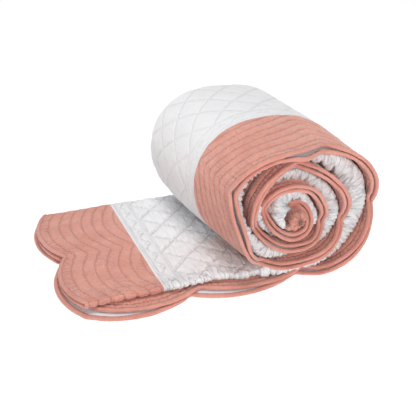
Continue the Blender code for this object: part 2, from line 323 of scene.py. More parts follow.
def folded(u, v, depth):
    """Length along the strip, place across it and distance inwards from its outside."""
    ahead = np.clip(1 - (LENGTH + CORE_END - u) / CORE_REACH, 0, 1) ** 2
    ahead = ahead * np.exp(-((v - 2 * QUARTER) / 0.15) ** 4)
    arc = arc_of(u) + CORE_SLIP * ahead
    lift, near = loose_fold(arc, v)
    loft = tail_loft(arc, v)
    tall = PLY + PLY_GAP / 2 + lift / 2
    wide = PLY + PLY_GAP / 2 + 0.22 * lift
    nose = math.pi / 2 * ((tall + wide) / 2 - PLY / 2)
    middle = BEND_MIDDLE + NEAR_SWELL + lift / 2
    far = FAR_FOLD + 0.0015 * noise(arc / 0.05, 0, 4)
    first, second, third = QUARTER, 2 * QUARTER, 3 * QUARTER

    def run(start, end, place_start, place_end):
        return place_start + (place_end - place_start) * (v - start) / (end - start)

    def felt(y, distance):
        return np.exp(-(np.clip(y - near, 0, None) / distance) ** 2)

    turn_1 = np.clip((v - first) / OUTER_TURN, -1, 1) * math.pi / 2
    turn_2 = np.clip((v - second) / nose, -1, 1) * math.pi / 2
    turn_3 = np.clip((v - third) / INNER_TURN, -1, 1) * math.pi / 2
    upper_y = run(first + OUTER_TURN, second - nose, far, near)
    lower_y = run(second + nose, third - INNER_TURN, near, far)
    edge_y = run(third + INNER_TURN, WIDTH, far, across_at(LAST_LINE, arc))
    # For each stretch of the cloth: where it ends, then place across and distance inwards
    stretches = [
        (v < first - OUTER_TURN, run(0.0, first - OUTER_TURN, 0 * far, far), depth),
        (v < first + OUTER_TURN,
         far + (FOLD_MIDDLE - depth) * np.cos(turn_1),
         FOLD_MIDDLE + (FOLD_MIDDLE - depth) * np.sin(turn_1) + loft * (1 + np.sin(turn_1)) / 2),
        (v < second - nose, upper_y,
         STACK - depth + loft + NEAR_SWELL * felt(upper_y, SWELL_REACH) + lift * felt(upper_y, LIFT_REACH)),
        (v < second + nose,
         near - (wide - depth) * np.cos(turn_2),
         middle - (tall - depth) * np.sin(turn_2) + loft * (1 - np.sin(turn_2)) / 2),
        (v < third - INNER_TURN, lower_y,
         2 * (PLY + PLY_GAP) + depth + NEAR_SWELL * felt(lower_y, SWELL_REACH)),
        (v < third + INNER_TURN,
         far + (depth + PLY_GAP / 2) * np.cos(turn_3),
         FOLD_MIDDLE - (depth + PLY_GAP / 2) * np.sin(turn_3)),
        (v < np.inf, edge_y, 2 * PLY + PLY_GAP - depth + EDGE_LIFT * felt(edge_y, SWELL_REACH)),
    ]
    tests, places, distances = zip(*stretches)
    y = np.select(tests, places)
    inward = np.select(tests, distances) - CORE_DROP * ahead
    radius = np.interp(arc, LINE[0], np.hypot(LINE[1], LINE[2] - ROLL_HEIGHT))
    return arc, y, np.where(arc > TAIL + 1.0, np.minimum(inward, CORE_FULL * radius), inward)


probe = folded(np.array([0.5, 0.5]), np.array([QUARTER, 2 * QUARTER]), np.array([0.0, 0.0]))
print("far fold and near fold lie at", probe[1].round(3), "across the strip")

# %% [markdown]
# Two bound edges lie side by side in every turn. They wander a little, and in two places they
# stand apart and show a sliver of backing. The roll also swells away from its open end.

# %% Edges that stand apart, and the swelling of the roll
# Direction and spread in degrees, and width, of each place where the bound edges stand apart
SLIVERS = ((84, 13, 0.0034), (174, 18, 0.0028))


def rim_wave(arc, y, v):
    """How the two bound edges wander in and out near the open end of the roll."""
    near = np.exp(-(np.clip(y + 0.03, 0, None) / 0.035) ** 2)
    side = np.where(v > WIDTH / 2, 1.0, 0.0)
    rolled = np.clip((arc - TAIL) / 0.1, 0, 1)
    wave = 0.0012 * noise(arc / 0.045, 0, 5) + 0.0008 * side * (1 + noise(arc / 0.06, 0, 7))
    turned = np.degrees(np.interp(arc, LINE[0], LINE[5]))
    for middle, spread, width in SLIVERS:
        wave = wave + width * side * np.exp(-((turned - middle) / spread) ** 2)
    return near * rolled * wave


def swelling(angle, y):
    """How much further out the roll is here than at its near end, as a share of the radius."""
    columns = np.arange(-2, len(ROLL_COLUMNS) + 3)
    knots = np.radians(-90 + 360 / len(ROLL_COLUMNS) * columns)
    turn = np.mod(angle + math.pi / 2, 2 * math.pi) - math.pi / 2
    more = 0.0
    for k, row in enumerate(SWELL):
        ring = spline(knots, np.array(row)[columns % len(row)] * MM, turn)
        more = more + ring * spline(SWELL_PLACES, np.eye(len(SWELL))[k], y)
    outer = np.array(ROLL[0] + ROLL[1][:1]) * MM
    return more / np.interp(turn, knots[2:2 + len(outer)], outer)


far_left = swelling(np.array([math.pi]), np.array([FAR_FOLD]))[0]
print("the far end is bigger by", round(float(far_left) * 100), "percent on the left")

# %% [markdown]
# Last comes the way round the roll. On the free end the last ply has slipped a little along the
# first, as the plies of a folded quilt do, so that its scallops show beside the others.

# %% Take a point round the roll
LAST_SLIP = 0.015  # how far the last ply has slipped along, and the first one back
FIRST_SLIP = 0.004
FLOOR_AIR = 0.0003  # the least height of any cloth above the floor


def placed(u, v, depth):
    """Points of the rolled quilt, for arrays of places u and v and depths below the face."""
    arc, y, inward = folded(u, v, depth)
    last = np.clip((v - 3 * QUARTER) / QUARTER, 0, 1)
    slip = LAST_SLIP * last * np.exp(-np.clip(arc - 0.3, 0, None) / 0.3) - FIRST_SLIP * (v < QUARTER)
    inward = inward + rim_wave(arc, y, v)
    arc = arc + slip
    x, z, nx, nz, angle = (np.interp(arc, LINE[0], part) for part in LINE[1:6])
    across = x + inward * nx
    up = z + inward * nz - ROLL_HEIGHT
    more = np.where(arc > TAIL, 1 + swelling(angle, y), 1.0)
    across = across * more
    up = np.maximum(up * more + ROLL_HEIGHT, FLOOR_AIR)
    return np.stack([across + CENTRE_X, y - CENTRE_Y, up], axis=1)


probe = placed(np.array([0.0, 0.6]), np.array([0.5, 0.1]), np.array([0.0, 0.0]))
print("a point of the free end", probe[0].round(3), "of the outer turn", probe[1].round(3))

# %% [markdown]
# ## Quilting lines
#
# Stitches pull the face down into the filling, so each line is a groove with soft cloth on
# both sides and small puckers across it. On the borders the lines echo the scallops: each is
# the wavy edge again, one step further in, with its cusps drawn out a little more.

# %% Echo lines of the borders
ECHO = 0.0213  # distance between two lines
CUSP_GROWTH = 0.27  # how much deeper the cusps get further in, and how soon
CUSP_EASE = 0.025
CUSP_SOFT = 0.007


def echo(inside, lobe, peak):
    """Distance from the bound edge, counted as the echo lines count it."""
    dip = peak - lobe
    e = inside + lobe
    for _ in range(6):
        e = inside + peak - dip * (1 + CUSP_GROWTH * (1 - np.exp(-np.clip(e, 0, None) / CUSP_EASE)))
    return e


def echo_places(u, v):
    """Echo distance and place along the edge, taken from the nearest edge."""
    long_reach, end_reach = reach(u, LONG_CUSPS, CUSP_SOFT), reach(v, END_CUSPS, CUSP_SOFT)
    choices = np.stack([
        echo(v, long_reach, LONG_REACH), echo(WIDTH - v, long_reach, LONG_REACH),
        echo(u, end_reach, END_REACH), LENGTH + CORE_END - u,
    ])
    along = np.where(np.argmin(choices, axis=0) < 2, u, v)
    return choices.min(axis=0), along


print("echo lines every", ECHO * 1000, "mm")

# %% [markdown]
# Where white and coral meet they are sewn together, so both have to lie at the same depth
# there. Near the bound edge the cloth gathers, and under the binding it is pressed flat.

# %% Relief of the borders
BINDING = 0.0095  # how far in the bound edge covers the cloth
UNDER_BINDING = 0.0009  # depth of the cloth there
SEAM_DEPTH = 0.0016
SEAM_WIDTH = 0.0035
GROOVE = 0.0012  # depth and width of a stitched line
GROOVE_WIDTH = 0.0026
SWELL_OUT = 0.0009  # how far the cloth swells out between two lines
GATHER = 0.0030  # depth, width and reach of the gathers along the bound edge
GATHER_WIDTH = 0.0100
GATHER_REACH = 0.020


def seam_distance(u, v):
    """Distance from the seam round the white centre."""
    beyond = [np.maximum(BORDER - u, u - LENGTH + BORDER), np.maximum(BORDER - v, v - WIDTH + BORDER)]
    return np.where(beyond[0] > 0, beyond[0], np.abs(np.maximum(*beyond)))


def seamed(depth, distance, along):
    """Brings the depth of both cloths to the same line where they are sewn together."""
    share = np.exp(-(distance / SEAM_WIDTH) ** 2)
    joined = SEAM_DEPTH + 0.0003 * noise(along / 0.007, 0, 15)
    return depth * (1 - share) + joined * share


def border_relief(u, v):
    """Depth below the highest cloth of a quilted border, and its stitch coordinates."""
    e, along = echo_places(u, v)
    phase = e / ECHO
    off = np.abs(phase - np.round(phase)) * ECHO
    off = np.where(phase < 0.5, 0.010, off)
    flat_end = np.clip((TAIL + 0.05 - arc_of(u)) / 0.05, 0, 1)
    groove = GROOVE * np.exp(-(off / GROOVE_WIDTH) ** 1.3)
    dome = -SWELL_OUT * np.sin(math.pi * np.clip(off / ECHO, 0, 0.5))
    cross = noise(along / 0.0075, e / 0.024, 11) + 0.5 * noise(along / 0.0042, e / 0.013, 12)
    pucker = (0.00045 + 0.00030 * flat_end) * cross * (0.30 + 0.70 * np.exp(-off / 0.006))
    slant = noise((along + 0.7 * e) / 0.011, (along - 0.7 * e) / 0.040, 13)
    hem = np.exp(-(e / GATHER_REACH) ** 2)
    wrinkle = (0.0004 + 0.0004 * flat_end + 0.0010 * hem) * slant
    gather = GATHER * hem * (0.7 - pleats(along + 0.3 * e, GATHER_WIDTH, 14))
    depth = groove + dome + pucker + wrinkle + gather + 0.0008
    # The far fold of the free end is pulled smooth
    depth = depth * (1 - 0.6 * np.exp(-((v - QUARTER) / 0.030) ** 2) * (u < BORDER))
    open_cloth = np.clip((e - BINDING) / 0.005, 0, 1)
    depth = UNDER_BINDING + open_cloth * (depth - UNDER_BINDING)
    fold = np.exp(-((v - 2 * QUARTER) / 0.030) ** 2)
    marks = np.stack([phase, along, np.clip(0.55 + 0.9 * hem + 0.7 * fold, 0, 1.4)], axis=1)
    return seamed(depth, np.minimum(np.abs(u - BORDER), seam_distance(u, v)), along), marks


print("grooves are", GROOVE * 1000, "mm deep, and the gathers up to", GATHER * 1000)

# %% [markdown]
# The white centre is crossed by two families of slanting lines, which make diamonds. Along its
# seam runs a band of scroll between two pairs of stitched lines. The cloth is creased most on
# the free end, where the roll pulls at it, and on the near fold.

# %% Relief of the centre
DIAMOND = 0.068  # distance between two slanting lines, along an edge of the quilt
BAND_LINES = (0.0055, 0.009, 0.0325, 0.036)
SCROLL_MIDDLE = 0.0207
SCROLL_PITCH = 0.044
SCROLL_SWING = 0.0060
CURL_RADIUS = 0.0045
NO_LINE = 0.03  # a distance so great that no groove is felt


def centre_lines(inside, along, u, v):
    """Distances from the nearest diamond line and the nearest line of the band."""
    steps = np.stack([(u + v) / DIAMOND, (u - v) / DIAMOND])
    lines = np.abs(steps - np.round(steps)).min(axis=0) * DIAMOND / math.sqrt(2)
    lines = np.where(inside > BAND_LINES[-1], lines, NO_LINE)
    band = np.stack([np.abs(inside - line) for line in BAND_LINES]).min(axis=0)
    turn = along / SCROLL_PITCH
    vine = np.abs(inside - SCROLL_MIDDLE - SCROLL_SWING * np.sin(2 * math.pi * turn))
    crest = np.round(turn - 0.25) + 0.25
    curl = np.hypot((turn - crest) * SCROLL_PITCH, inside - SCROLL_MIDDLE - SCROLL_SWING + CURL_RADIUS)
    scroll = np.minimum(vine, np.abs(curl - CURL_RADIUS))
    scroll = np.where((inside > BAND_LINES[1]) & (inside < BAND_LINES[2]), scroll, NO_LINE)
    return lines, np.minimum(band, scroll)


def centre_relief(u, v):
    """Depth below the highest cloth of the white centre, and its stitch coordinates."""
    sides = np.stack([u - BORDER, v - BORDER, WIDTH - BORDER - v])
    inside = sides.min(axis=0)
    along = np.where(sides.argmin(axis=0) == 0, v, u)
    lines, band = centre_lines(inside, along, u, v)
    arc = arc_of(u)
    flat_end = np.clip((TAIL + 0.05 - arc) / 0.05, 0, 1) * np.clip((v - QUARTER + 0.03) / 0.03, 0, 1)
    on_line = lines < band
    deep = np.where(on_line, 0.0009 + 0.0021 * flat_end, 0.0007 + 0.0008 * flat_end)
    groove = deep * np.exp(-(np.minimum(lines, band) / np.where(on_line, 0.0050, 0.0020)) ** 1.2)
    pull = np.exp(-((arc - TAIL + 0.03) / 0.11) ** 2) * flat_end
    bent = u + 0.006 * noise(u / 0.05, v / 0.03, 23)
    creases = noise(bent / 0.0065, (v + 0.3 * u) / 0.026, 21)
    creases = creases + 0.5 * noise((u + v) / 0.0085, (u - v) / 0.020, 24)
    small = noise((u - v) / 0.006, (u + v) / 0.012, 22)
    open_field = np.clip((inside - BAND_LINES[-1]) / 0.01, 0.25, 1)
    wrinkle = open_field * (0.00022 + 0.00040 * flat_end + 0.0021 * pull) * creases + 0.00022 * small
    gathers = np.exp(-((v - 2 * QUARTER) / 0.030) ** 2)
    gather = 0.0010 * gathers * noise(bent / 0.0055, v / 0.05, 25)
    depth = seamed(groove + wrinkle + gather + 0.0006, inside, along)
    creased = np.clip(0.12 + 0.22 * flat_end + pull + gathers, 0, 1.2)
    return depth, np.stack([inside, along, creased], axis=1)


print("diamonds of", DIAMOND * 1000, "mm")

# %% [markdown]
# ## Cutting the cloth
#
# Each cloth starts as a bmesh grid. Where it will be seen close up, or where it turns sharply,
# its faces are divided again and again; where it lies hidden inside the roll it stays coarse.

# %% A graded grid
def graded_grid(across, along, cell, finer):
    """A grid over the flat rectangle, divided once more wherever each test in finer says so."""
    grid = bmesh.new()
    columns = max(1, round((across[1] - across[0]) / cell[0]))
    rows = max(1, round((along[1] - along[0]) / cell[1]))
    bmesh.ops.create_grid(grid, x_segments=columns, y_segments=rows, size=0.5)
    for corner in grid.verts:
        corner.co.x = across[0] + (corner.co.x + 0.5) * (across[1] - across[0])
        corner.co.y = along[0] + (corner.co.y + 0.5) * (along[1] - along[0])
    for test in finer:
        chosen = set()
        for face in grid.faces:
            middle = face.calc_center_median()
            if test(middle.y, middle.x):
                chosen.update(face.edges)
        bmesh.ops.subdivide_edges(grid, edges=list(chosen), cuts=1, use_grid_fill=True)
    return grid


def flat_places(grid):
    """The flat place of every corner of a grid, across first."""
    grid.verts.index_update()
    return np.array([corner.co[:2] for corner in grid.verts])


trial = graded_grid((0.0, 1.0), (0.0, 1.0), (0.25, 0.25), (lambda along, across: across < 0.5,))
print("a grid of 16 faces, with one half divided, has", len(trial.faces))
trial.free()

# %% [markdown]
# A grid becomes an object once its corners are in their places in the roll. It keeps its flat
# coordinates, as a UV map and as an attribute, so that the weave follows the cloth. A second
# attribute says where each corner lies among the stitched lines.

# %% From grid to object
def new_object(name, data):
    """An object in the scene."""
    made = bpy.data.objects.new(name, data)
    bpy.context.scene.collection.objects.link(made)
    return made


def keep(mesh, name, values):
    """Stores three numbers for every corner of a mesh."""
    attribute = mesh.attributes.new(name, "FLOAT_VECTOR", "POINT")
    attribute.data.foreach_set("vector", values.astype(np.float32).ravel())


def cloth_object(name, grid, points, flat, marks=None, turned=False):
    """A flat grid moved to its place, with a map of the flat cloth."""
    if turned:
        bmesh.ops.reverse_faces(grid, faces=grid.faces)
    bmesh.ops.triangulate(grid, faces=[face for face in grid.faces if len(face.verts) > 4])
    mesh = bpy.data.meshes.new(name)
    grid.to_mesh(mesh)
    grid.free()
    mesh.vertices.foreach_set("co", points.astype(np.float32).ravel())
    layer = mesh.uv_layers.new(name="OFBake")
    corners = np.empty(len(mesh.loops), int)
    mesh.loops.foreach_get("vertex_index", corners)
    size = flat.max(axis=0) - flat.min(axis=0)
    layer.uv.foreach_set("vector", ((flat - flat.min(axis=0)) / size)[corners].astype(np.float32).ravel())
    keep(mesh, "flat", np.column_stack([flat, 0 * flat[:, 0]]))
    if marks is not None:
        keep(mesh, "stitches", marks)
    mesh.shade_smooth()
    mesh.update()
    print(name, "has", sum(len(face.vertices) - 2 for face in mesh.polygons), "triangles")
    return new_object(name, mesh)


# %% [markdown]
# ## Cloth finishes
#
# The coral is woven from two close tones of thick and thin yarn, so its colour runs in short
# streaks both ways. The white is plain washed cotton. Both get a fine weave and soft crumples
# as bump, and their stitch lines are painted darker than the cloth, partly as thread colour and
# partly as painted shade in the bottom of each groove.
#
# Stitches are finer than the mesh, so the shader works their lines out again from the two
# attributes, and they stay sharp however coarse the cloth is.

# %% Nodes in few words
def new_material(name):
    """A material and its surface shader."""
    material = bpy.data.materials.new(name)
    material.use_nodes = True
    return material, material.node_tree.nodes["Principled BSDF"]


def add(near, kind, **values):
    """A new node beside a node or socket, with some of its settings."""
    node = near.id_data.nodes.new("ShaderNode" + kind)
    for key, value in values.items():
        setattr(node, key, value)
    return node


def join(source, socket):
    """A link from one socket to another."""
    socket.id_data.links.new(source, socket)


def settle(node, values):
    """Sets inputs of a node by their names."""
    for key, value in values.items():
        node.inputs[key].default_value = value


def do(operation, a, b=None):
    """One sum of a socket with a number or another socket."""
    node = add(a, "Math", operation=operation)
    for socket, value in zip(node.inputs, (a, b)):
        if isinstance(value, (int, float)):
            socket.default_value = value
        elif value is not None:
            join(value, socket)
    return node.outputs[0]


def parts_of(vector):
    """The three numbers of a vector."""
    split = add(vector, "SeparateXYZ")
    join(vector, split.inputs["Vector"])
    return split.outputs["X"], split.outputs["Y"], split.outputs["Z"]


def change(value, start, end, low_value, high_value):
    """A smooth step of value from one level to another."""
    node = add(value, "MapRange", interpolation_type="SMOOTHSTEP")
    settle(node, {"From Min": start, "From Max": end, "To Min": low_value, "To Max": high_value})
    join(value, node.inputs["Value"])
    return node.outputs["Result"]


# %% Streaks and creases
def streaks(place, scale, seed):
    """Noise drawn out along one yarn direction."""
    mapping = add(place, "Mapping")
    settle(mapping, {"Scale": scale, "Location": (seed, seed, seed)})
    join(place, mapping.inputs["Vector"])
    texture = add(place, "TexNoise")
    settle(texture, {"Scale": 1.0, "Detail": 2.0})
    join(mapping.outputs["Vector"], texture.inputs["Vector"])
    return texture.outputs["Fac"]


def ridged(place, scale, seed):
    """Noise folded over at its middle: round puffs with sharp creases between them."""
    centred = do("SUBTRACT", streaks(place, scale, seed), 0.5)
    return do("POWER", do("ABSOLUTE", centred), 0.6)


# %% [markdown]
# Every cloth is the same recipe: streaks of two tones, the thread of the stitches over them, and
# one height in millimetres for weave, creases and grooves. The pattern gives thread and height;
# the thread colour also stands for painted shade in the grooves.

# %% Woven cotton
def cloth_material(name, dark, light, thread_and_groove_shade, pattern, slub, weave):
    """A woven cotton: two-tone streaks, fine weave, stitch lines and creases."""
    material, shader = new_material(name)
    place = add(shader, "Attribute", attribute_name="flat").outputs["Vector"]
    weft = streaks(place, (70, 900, 1), 0.3)
    warp = streaks(place, (900, 90, 1), 3.1)
    cloud = streaks(place, (26, 22, 1), 8.7)
    yarns = do("ADD", do("ADD", do("MULTIPLY", weft, slub), cloud), do("MULTIPLY", warp, slub))
    ramp = add(shader, "ValToRGB")
    for stop, position, colour in zip(ramp.color_ramp.elements, (0.30, 0.70), (dark, light)):
        stop.position = position
        stop.color = colour
    join(do("DIVIDE", yarns, 1 + 2 * slub), ramp.inputs["Fac"])
    thread_with_groove_shade, relief = pattern(place)
    # Stitch lines get a darker colour: thread colour and painted shade in the grooves
    mix = add(shader, "Mix", data_type="RGBA")
    mix.inputs["B"].default_value = thread_and_groove_shade
    join(thread_with_groove_shade, mix.inputs["Factor"])
    join(ramp.outputs["Color"], mix.inputs["A"])
    join(mix.outputs["Result"], shader.inputs["Base Color"])
    bump = add(shader, "Bump")
    settle(bump, {"Strength": 1.0, "Distance": MM})
    join(do("ADD", do("MULTIPLY", do("ADD", weft, warp), weave), relief), bump.inputs["Height"])
    join(bump.outputs["Normal"], shader.inputs["Normal"])
    settle(shader, {"Roughness": 0.88, "Specular IOR Level": 0.25})
    settle(shader, {"Sheen Weight": 0.50, "Sheen Roughness": 0.45})
    return material


# %% Stitched lines of the coral borders
def marks_of(place):
    """The three numbers that say where a point lies among the stitches."""
    marks = add(place, "Attribute", attribute_name="stitches")
    return parts_of(marks.outputs["Vector"])


def to_line(phase, pitch):
    """Distance from the nearest whole number of a phase, in millimetres."""
    part = do("FRACT", do("ADD", phase, 100.5))
    return do("MULTIPLY", do("ABSOLUTE", do("SUBTRACT", part, 0.5)), pitch / MM)


def sewn(off, deep, wide, tone):
    """Thread with painted groove shade, and groove of a stitched line, from the distance to it in
    millimetres.
    """
    # A dark line along the middle of the groove: partly thread colour, partly painted shade
    thread_with_groove_shade = change(off, 0.2, 0.9, tone, 0.0)
    return thread_with_groove_shade, change(off, 0.0, wide, -deep, 0.0)


def echo_pattern(place):
    """Echo lines of a border, with puckers running away from them."""
    phase, along, creased = marks_of(place)
    off = to_line(phase, ECHO)
    edge = change(phase, 0.45, 0.55, 9.0, 0.0)
    thread_with_groove_shade, groove = sewn(do("ADD", off, edge), 1.2, 3.0, 0.54)
    border = add(place, "CombineXYZ")
    join(do("MULTIPLY", phase, ECHO), border.inputs["X"])
    join(along, border.inputs["Y"])
    puckers = ridged(border.outputs["Vector"], (28, 125, 1), 4.4)
    slants = ridged(border.outputs["Vector"], (85, 90, 1), 6.1)
    creases = do("ADD", do("MULTIPLY", puckers, 5.0), slants)
    return thread_with_groove_shade, do("ADD", groove, do("MULTIPLY", creases, creased))


# The third colour darkens the stitch lines: thread colour and painted groove shade
CORAL = cloth_material("coral cotton", (0.65, 0.240, 0.178, 1), (0.88, 0.445, 0.355, 1),
    (0.45, 0.130, 0.090, 1), echo_pattern, 0.9, 0.3)
print(CORAL.name, "has", len(CORAL.node_tree.nodes), "nodes")


# %% Stitched lines of the white centre
def diamond_distance(place, inside):
    """Distance from the nearest slanting line in millimetres, great outside their field."""
    v, u, _ = parts_of(place)
    slopes = [do("DIVIDE", do(kind, u, v), DIAMOND) for kind in ("ADD", "SUBTRACT")]
    offs = [to_line(slope, DIAMOND / math.sqrt(2)) for slope in slopes]
    field = change(inside, BAND_LINES[-1], BAND_LINES[-1] + 0.0005, 9.0, 0.0)
    return do("ADD", do("MINIMUM", *offs), field)


def band_distance(inside, along):
    """Distance from the nearest line of the band or of its scroll, in millimetres."""
    lines = [do("ABSOLUTE", do("SUBTRACT", inside, line)) for line in BAND_LINES]
    middle = do("SUBTRACT", inside, SCROLL_MIDDLE)
    wave = do("SINE", do("MULTIPLY", along, 2 * math.pi / SCROLL_PITCH))
    vine = do("ABSOLUTE", do("SUBTRACT", middle, do("MULTIPLY", wave, SCROLL_SWING)))
    turn = do("ADD", do("DIVIDE", along, SCROLL_PITCH), 0.25)
    beside = do("MULTIPLY", do("SUBTRACT", do("FRACT", turn), 0.5), SCROLL_PITCH)
    above = do("SUBTRACT", middle, SCROLL_SWING - CURL_RADIUS)
    squares = [do("POWER", do("ABSOLUTE", part), 2.0) for part in (beside, above)]
    curl = do("ABSOLUTE", do("SUBTRACT", do("SQRT", do("ADD", *squares)), CURL_RADIUS))
    return do("DIVIDE", reduce(lambda a, b: do("MINIMUM", a, b), lines + [vine, curl]), MM)


def centre_pattern(place):
    """Diamonds, the band and its scroll, and creases across the pull of the cloth."""
    inside, along, creased = marks_of(place)
    lines, groove = sewn(diamond_distance(place, inside), 2.0, 4.0, 0.36)
    band, rut = sewn(band_distance(inside, along), 1.1, 2.2, 0.12)
    puckers = do("MULTIPLY", ridged(place, (24, 105, 1), 4.4), 6.5)
    creases = do("ADD", puckers, ridged(place, (80, 95, 1), 6.1))
    # Grooves deepen where the cloth is pulled, and the painted shade along the stitch lines darkens with
    # them
    strong = change(creased, 0.12, 0.30, 0.48, 1.0)
    relief = do("ADD", do("MULTIPLY", creases, creased), do("MULTIPLY", do("ADD", groove, rut), strong))
    return do("MULTIPLY", do("MAXIMUM", lines, band), strong), relief


# The third colour darkens the stitch lines: thread colour and painted groove shade
WHITE = cloth_material("white cotton", (0.86, 0.86, 0.875, 1), (0.905, 0.905, 0.915, 1),
    (0.65, 0.64, 0.68, 1), centre_pattern, 0.3, 0.25)
print(WHITE.name, "has", len(WHITE.node_tree.nodes), "nodes")

# %% [markdown]
# The backing shows no thread, only creases. The bias strip has a stitched line along each side
# and puckers across it.

# %% Backing and bias strip
BIAS_FOLD = 0.0022  # flat width of one fold of the strip
BIAS_MIDDLE = 7 * BIAS_FOLD  # flat place of its middle, and of its stitches from there
BIAS_STITCH = 0.0102


def plain_pattern(place):
    """No stitches, only the small creases of washed cloth."""
    none = add(place, "Value")
    none.outputs[0].default_value = 0.0
    creases = ridged(place, (160, 200, 1), 4.4)
    return none.outputs[0], do("MULTIPLY", creases, 0.7)


def bias_pattern(place):
    """Small puckers across the strip and a stitched line along each side."""
    across = parts_of(place)[0]
    from_middle = do("ABSOLUTE", do("SUBTRACT", across, BIAS_MIDDLE))
    off = do("DIVIDE", do("ABSOLUTE", do("SUBTRACT", from_middle, BIAS_STITCH)), MM)
    thread_with_groove_shade, groove = sewn(off, 0.9, 1.8, 0.5)
    puckers = do("MULTIPLY", ridged(place, (70, 230, 1), 4.4), 1.5)
    return thread_with_groove_shade, do("ADD", groove, puckers)


BACK = cloth_material("white backing", (0.80, 0.80, 0.825, 1), (0.87, 0.87, 0.885, 1),
    (0.8, 0.8, 0.8, 1), plain_pattern, 0.3, 0.25)
# The third colour of the bias strip darkens its stitched lines: thread colour and painted groove shade
BIAS = cloth_material("coral bias", (0.64, 0.235, 0.175, 1), (0.84, 0.410, 0.335, 1),
    (0.42, 0.110, 0.075, 1), bias_pattern, 0.7, 0.3)
print("finishes:", [material.name for material in (CORAL, WHITE, BACK, BIAS)])

# %% [markdown]
# ## The white centre
#
# One cloth runs right through the fold and the roll. Its face shows on the free end, round the
# outer turn, and all along the near fold, so those stretches get the finest grid.

# %% Finish a piece
def finish_piece(piece, material, nodes):
    """Gives a piece its material, hangs it on the root body, and hides the solids that it replaces."""
    piece.data.materials.append(material)
    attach(piece, "root")
    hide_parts(*nodes)


# %% Centre panel
FREE_STRETCH = 0.52  # as far along the quilt as its free end is seen
TURN_START = 0.30  # and where the outer turn starts and ends
TURN_END = 1.34


def seen_stretch(u, v, margin):
    """True where the cloth is seen on the free end or round the outer turn."""
    on_top = QUARTER - margin < v < 2 * QUARTER + margin and u < FREE_STRETCH
    outside = v < QUARTER + margin and TURN_START < u < TURN_END
    return on_top or outside


def near_fold(v, distance):
    """True within this distance of the crest of the near fold."""
    return abs(v - 2 * QUARTER + 0.004) < distance


def make_centre():
    """The white cloth."""
    span = (BORDER, WIDTH - BORDER)
    grid = graded_grid(span, (BORDER, LENGTH - BORDER), (0.0193, 0.0192), (
        lambda u, v: seen_stretch(u, v, 0.03) or near_fold(v, 0.07) or abs(v - QUARTER) < 0.03,
        lambda u, v: seen_stretch(u, v, 0.012) or near_fold(v, 0.050) or abs(v - QUARTER) < 0.02,
        lambda u, v: seen_stretch(u, v, 0.004) or near_fold(v, 0.026),
    ))
    flat = flat_places(grid)
    v, u = flat.T
    depth, marks = centre_relief(u, v)
    piece = cloth_object("centre_cloth", grid, placed(u, v, depth), flat, marks)
    finish_piece(piece, WHITE, ["centre_panel"])


make_centre()

# %% [markdown]
# ## The coral borders
#
# The long borders are cut as straight grids and then stretched between the scallops and the
# seam, so that the rows of the grid run along with the echo lines and the grooves stay crisp.
# Each runs on a little past its seam, and turns under the centre there.

# %% Long borders
TUCK = 0.004  # how far the cloth stays inside its bound edge
ALLOWANCE = 0.003  # how far a border runs on under the centre, and how deep
TURN_UNDER = 0.0014


def stretched(s, edge):
    """Distance from the cusp line at row s, between the scalloped edge and the seam."""
    return edge + s / BORDER * (BORDER + ALLOWANCE - edge)


def coral_piece(name, node, grid, u, v, under, turned=False):
    """A quilted border; under is how far each point runs under the centre."""
    depth, marks = border_relief(u, v)
    depth = depth + TURN_UNDER * np.clip(under / ALLOWANCE, 0, 1)
    piece = cloth_object(name, grid, placed(u, v, depth), np.column_stack([v, u]), marks, turned)
    finish_piece(piece, CORAL, [node])


def long_border(name, node, last):
    """One long border. The last one lies inside the roll, so only its edge is fine."""
    grid = graded_grid((0.0, BORDER), (BORDER, LENGTH - BORDER), (0.0191, 0.0192), (
        lambda u, s: (not last and 0.28 < u < 1.36) or s < 0.09,
        lambda u, s: (not last and 0.30 < u < 1.34) or s < 0.06,
        lambda u, s: (not last and 0.32 < u < 1.30) or s < 0.045,
    ))
    s, u = flat_places(grid).T
    v = stretched(s, TUCK - reach(u, LONG_CUSPS))
    coral_piece(name, node, grid, u, WIDTH - v if last else v, v - BORDER,
                turned=last)


long_border("first_long_border", "side_border_first", False)
long_border("last_long_border", "side_border_last", True)

# %% [markdown]
# The end borders run right across the quilt. The one at the free end lies on top of the folded
# stack and shows its lines plainly. The other is in the core, where only its folds show.

# %% End borders
def widened(share, u):
    """Place across the quilt, as a share of the way between its long edges."""
    wide = reach(np.clip(u, 0, LENGTH), LONG_CUSPS) - TUCK
    return -wide + share * (WIDTH + 2 * wide)


def free_edge(v):
    """Where the cloth ends at the free end, just inside its bound edge."""
    return TUCK - reach(np.clip(v, 0, WIDTH), END_CUSPS)


def tail_border():
    """The border of the free end, scalloped on three sides."""
    grid = graded_grid((0.0, WIDTH), (0.0, BORDER), (0.0194, 0.0191), (
        lambda s, v: QUARTER - 0.03 < v < 2 * QUARTER + 0.05 or v < 0.05 or v > WIDTH - 0.10 or s < 0.04,
        lambda s, v: QUARTER - 0.03 < v < 2 * QUARTER + 0.03 or v > WIDTH - 0.06 or s < 0.02,
        lambda s, v: QUARTER - 0.01 < v < 2 * QUARTER + 0.01 or v > WIDTH - 0.05,
    ))
    across, s = flat_places(grid).T
    v = widened(across / WIDTH, s)
    u = stretched(s, free_edge(v))
    coral_piece("tail_border", "end_border_tail", grid, u, v, u - BORDER)


